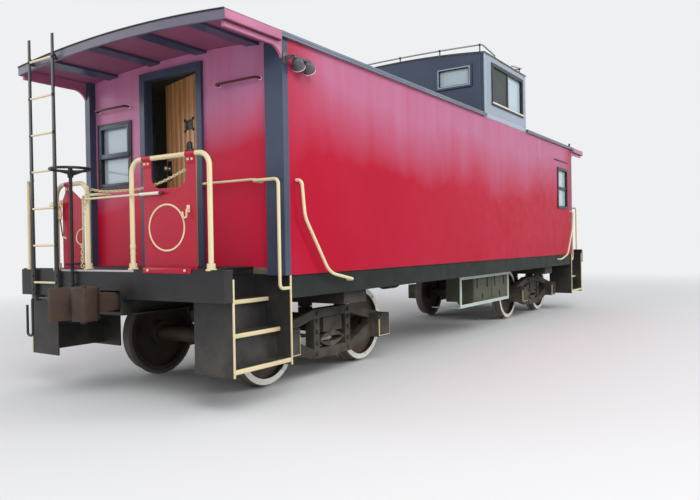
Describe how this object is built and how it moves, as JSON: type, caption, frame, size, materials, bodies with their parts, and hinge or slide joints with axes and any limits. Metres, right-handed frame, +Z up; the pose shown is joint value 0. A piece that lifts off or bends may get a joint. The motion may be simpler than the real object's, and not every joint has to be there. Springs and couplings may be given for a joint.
{
  "type": "railway caboose",
  "caption": "Steel-bodied railway caboose with a full-width cupola, open end platforms, swivelling trucks and swinging end doors.",
  "frame": {"origin": "on the floor under the middle of the car, at the lowest points of the wheel flanges", "axes": "+X along the car towards end B, +Y to the car's left side, +Z up"},
  "size_m": [11.48, 3.0582, 4.2567],
  "materials": {
    "body_red": "glossy crimson enamel on sheet steel",
    "slate_paint": "satin slate-grey enamel",
    "black_paint": "satin black enamel",
    "sill_green": "dull dark green-black enamel",
    "underframe_paint": "dull black with road dust",
    "cast_steel": "cast steel, rusty brown-black",
    "cream_paint": "cream enamel, slightly yellowed",
    "grab_red": "crimson enamel",
    "floor_boards": "worn floor boards",
    "door_wood": "varnished upright boards",
    "window_glass": "clear window glass"
  },
  "bodies": {
    "car_body": {"body_bolsters": "underframe_paint", "box_cradle": "cream_paint", "brake_tanks": "underframe_paint", "canopy_arches": "slate_paint", "canopy_sides": "body_red", "carlines": "slate_paint", "centre_sill": "underframe_paint", "corner_handrails": "cream_paint", "corner_lamps": "black_paint", "corner_posts": "slate_paint", "crossbearers": "underframe_paint", "cupola_ends": "slate_paint", "cupola_rails": "slate_paint", "cupola_roof": "slate_paint", "cupola_sides": "slate_paint", "door_frames": "slate_paint", "end_grabs": "grab_red", "end_walls": "body_red", "floor": "floor_boards", "gate_bars": "cream_paint", "hand_brakes": "black_paint", "ladder_grabs": "cream_paint", "ladders": "black_paint", "platforms": "black_paint", "railing_panels": "body_red", "railings": "cream_paint", "roof_long": "slate_paint", "roof_short": "slate_paint", "side_sills": "sill_green", "side_wall_left": "body_red", "side_wall_right": "body_red", "stairs": "black_paint", "tool_box": "sill_green", "uncoupling_levers": "black_paint", "window_frames": "black_paint", "window_glass": "window_glass"},
    "truck_a": {"truck_a_bolster": "underframe_paint", "truck_a_brake_beams": "underframe_paint", "truck_a_side_frames": "underframe_paint", "truck_a_springs": "underframe_paint"},
    "truck_b": {"truck_b_bolster": "underframe_paint", "truck_b_brake_beams": "underframe_paint", "truck_b_side_frames": "underframe_paint", "truck_b_springs": "underframe_paint"},
    "wheels_1": {"wheelset_1": "cast_steel"},
    "wheels_2": {"wheelset_2": "cast_steel"},
    "wheels_3": {"wheelset_3": "cast_steel"},
    "wheels_4": {"wheelset_4": "cast_steel"},
    "door_leaf_a": {"door_a": "door_wood"},
    "door_leaf_b": {"door_b": "door_wood"},
    "coupler_body_a": {"coupler_a": "cast_steel"},
    "coupler_body_b": {"coupler_b": "cast_steel"}
  },
  "joints": [
    {"name": "truck_a_swivel", "type": "hinge", "parent": "car_body", "child": "truck_a", "pos_m": [-3.25, 0, 0.7], "axis": [0, 0, 1], "range_deg": [-4, 4]},
    {"name": "truck_b_swivel", "type": "hinge", "parent": "car_body", "child": "truck_b", "pos_m": [3.25, 0, 0.7], "axis": [0, 0, 1], "range_deg": [-4, 4]},
    {"name": "wheels_1_spin", "type": "hinge", "parent": "truck_a", "child": "wheels_1", "pos_m": [-4.088, 0, 0.445], "axis": [0, 1, 0], "continuous": true},
    {"name": "wheels_2_spin", "type": "hinge", "parent": "truck_a", "child": "wheels_2", "pos_m": [-2.412, 0, 0.445], "axis": [0, 1, 0], "continuous": true},
    {"name": "wheels_3_spin", "type": "hinge", "parent": "truck_b", "child": "wheels_3", "pos_m": [2.412, 0, 0.445], "axis": [0, 1, 0], "continuous": true},
    {"name": "wheels_4_spin", "type": "hinge", "parent": "truck_b", "child": "wheels_4", "pos_m": [4.088, 0, 0.445], "axis": [0, 1, 0], "continuous": true},
    {"name": "door_a_hinge", "type": "hinge", "parent": "car_body", "child": "door_leaf_a", "pos_m": [-4.351, -0.272, 2.1], "axis": [0, 0, -1], "range_deg": [-16, 74]},
    {"name": "door_b_hinge", "type": "hinge", "parent": "car_body", "child": "door_leaf_b", "pos_m": [4.351, 0.272, 2.1], "axis": [0, 0, -1], "range_deg": [0, 90]},
    {"name": "coupler_a_swing", "type": "hinge", "parent": "car_body", "child": "coupler_body_a", "pos_m": [-4.73, 0, 0.902], "axis": [0, 0, 1], "range_deg": [-7, 7]},
    {"name": "coupler_b_swing", "type": "hinge", "parent": "car_body", "child": "coupler_body_b", "pos_m": [4.73, 0, 0.902], "axis": [0, 0, 1], "range_deg": [-7, 7]}
  ]
}
